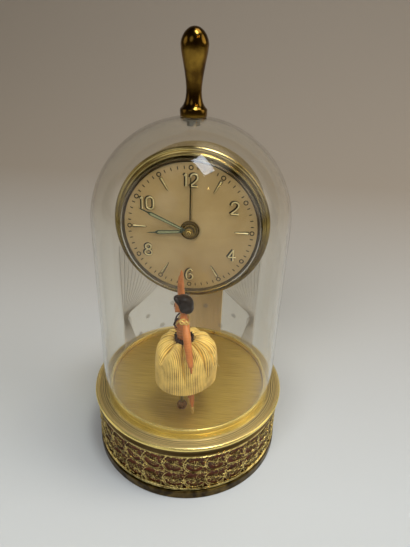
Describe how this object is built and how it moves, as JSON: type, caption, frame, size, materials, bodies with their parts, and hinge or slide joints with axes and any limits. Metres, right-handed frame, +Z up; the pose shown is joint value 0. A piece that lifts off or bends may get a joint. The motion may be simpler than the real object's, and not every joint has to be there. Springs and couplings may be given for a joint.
{
  "type": "table clock",
  "caption": "Round table clock on a strip over a stage with a turning dancer, on a pierced drum base with a musical movement, under a clear dome with a knob.",
  "frame": {"origin": "centre of the base's underside, on the table", "axes": "+Z up; the dial faces -Y; +X to the right as seen from the front"},
  "size_m": [0.1168, 0.1168, 0.2359],
  "materials": {
    "gilt_brass": "polished and lacquered",
    "dark_brass": "aged, half matte",
    "tan_metal": "matte tan lacquer",
    "red_lining": "matte red-brown",
    "steel": "bright",
    "cast_alloy": "matte cast",
    "doll_skin": "satin",
    "doll_hair": "satin black",
    "doll_cloth": "pale yellow ribbon cloth",
    "doll_band": "dark ribbon",
    "film": "translucent film",
    "black_plastic": "matte",
    "cream_dial": "satin cream",
    "dark_brown": "satin dark brown",
    "hand_paint": "dark edge with a pale green fill",
    "clear_dome": "clear",
    "clear_lens": "clear, domed"
  },
  "bodies": {
    "base": {"back_cover": "gilt_brass", "back_plate": "gilt_brass", "base_drum": "dark_brass", "base_plate": "dark_brass", "base_screws": "steel", "bezel": "gilt_brass", "case_shell": "gilt_brass", "column_screws": "gilt_brass", "cornice": "tan_metal", "curtain_film": "film", "cylinder_bearings": "dark_brass", "dial": "cream_dial", "dial_numerals": "gilt_brass", "dial_ring": "dark_brown", "foot_ring": "dark_brass", "front_plate": "dark_brass", "gallery": "gilt_brass", "gallery_lining": "red_lining", "governor_block": "cast_alloy", "head_bracket": "dark_brass", "lens": "clear_lens", "music_bedplate": "cast_alloy", "music_comb": "steel", "pillar": "tan_metal", "rod_bush": "black_plastic", "spindle_bush": "dark_brass", "stage_plate": "gilt_brass", "stage_rim": "gilt_brass"},
    "dome": {"dome": "clear_dome", "dome_knob": "gilt_brass", "knob_fixing": "steel"},
    "music_barrel": {"music_barrel": "gilt_brass"},
    "dancer": {"dancer_gear": "gilt_brass", "dancer_spindle": "steel", "doll_body": "doll_skin", "doll_hair": "doll_hair", "raised_arm": "doll_skin", "hanging_arm": "doll_skin", "doll_legs": "doll_skin", "bodice": "doll_cloth", "waistband": "doll_band", "skirt": "doll_cloth"},
    "music_cylinder": {"music_cylinder": "gilt_brass"},
    "governor_wheel": {"governor_wheel": "gilt_brass"},
    "governor_fly": {"governor_fly": "steel"},
    "music_winder": {"music_arbor": "steel", "music_key": "steel"},
    "trip_rod": {"trip_rod": "steel"},
    "minute": {"centre_arbor": "steel", "minute_hand": "hand_paint", "hand_cap": "dark_brass"},
    "hour": {"hour_wheel": "gilt_brass", "hour_hand": "hand_paint"},
    "time_set": {"minute_wheel": "gilt_brass", "time_set_knob": "gilt_brass"},
    "mainspring": {"mainspring_barrel": "gilt_brass"},
    "alarm": {"alarm_wheel": "gilt_brass", "alarm_hand": "hand_paint"},
    "alarm_set": {"alarm_set_knob": "gilt_brass"},
    "clock_winder": {"winding_key": "gilt_brass"}
  },
  "joints": [
    {"name": "dome_lift", "type": "slide", "parent": "base", "child": "dome", "axis": [0, 0, 1], "range_m": [0, 0.16]},
    {"name": "barrel_spin", "type": "hinge", "parent": "base", "child": "music_barrel", "pos_m": [0, -0.009, 0], "axis": [0, 0, 1], "continuous": true},
    {"name": "dancer_spin", "type": "hinge", "parent": "base", "child": "dancer", "pos_m": [0, -0.028, 0], "axis": [0, 0, 1], "continuous": true},
    {"name": "cylinder_spin", "type": "hinge", "parent": "base", "child": "music_cylinder", "pos_m": [0, -0.009, 0.0319], "axis": [0.342, 0.9397, 0], "continuous": true},
    {"name": "governor_spin", "type": "hinge", "parent": "base", "child": "governor_wheel", "pos_m": [-0.00752, -0.00626, 0.0319], "axis": [0.342, 0.9397, 0], "continuous": true},
    {"name": "fly_spin", "type": "hinge", "parent": "base", "child": "governor_fly", "pos_m": [-0.0001, 0.03137, 0], "axis": [0, 0, 1], "continuous": true},
    {"name": "music_wind", "type": "hinge", "parent": "base", "child": "music_winder", "pos_m": [0, -0.009, 0], "axis": [0, 0, 1], "continuous": true},
    {"name": "rod_trip", "type": "slide", "parent": "base", "child": "trip_rod", "axis": [0, 0, 1], "range_m": [0, 0.003]},
    {"name": "minute_spin", "type": "hinge", "parent": "base", "child": "minute", "pos_m": [0, 0, 0.1433], "axis": [0, 1, 0], "continuous": true},
    {"name": "hour_spin", "type": "hinge", "parent": "base", "child": "hour", "pos_m": [0, 0, 0.1433], "axis": [0, 1, 0], "continuous": true},
    {"name": "time_set_spin", "type": "hinge", "parent": "base", "child": "time_set", "pos_m": [0.012, 0, 0.1433], "axis": [0, 1, 0], "continuous": true},
    {"name": "mainspring_spin", "type": "hinge", "parent": "base", "child": "mainspring", "pos_m": [-0.01714, 0, 0.13706], "axis": [0, 1, 0], "continuous": true},
    {"name": "alarm_spin", "type": "hinge", "parent": "base", "child": "alarm", "pos_m": [0, 0, 0.1433], "axis": [0, 1, 0], "continuous": true},
    {"name": "alarm_set_spin", "type": "hinge", "parent": "base", "child": "alarm_set", "pos_m": [0, 0, 0.1583], "axis": [0, 1, 0], "continuous": true},
    {"name": "clock_wind", "type": "hinge", "parent": "base", "child": "clock_winder", "pos_m": [-0.01714, 0, 0.13706], "axis": [0, 1, 0], "continuous": true}
  ],
  "couplings": [
    {"joint": "dancer_spin", "follows": "barrel_spin", "ratio": -2.1667},
    {"joint": "cylinder_spin", "follows": "barrel_spin", "ratio": 4},
    {"joint": "governor_spin", "follows": "barrel_spin", "ratio": -16},
    {"joint": "fly_spin", "follows": "barrel_spin", "ratio": 128},
    {"joint": "hour_spin", "follows": "minute_spin", "ratio": 0.083333},
    {"joint": "time_set_spin", "follows": "minute_spin", "ratio": -0.33333},
    {"joint": "mainspring_spin", "follows": "minute_spin", "ratio": -0.14286},
    {"joint": "alarm_set_spin", "follows": "alarm_spin", "ratio": -4}
  ]
}
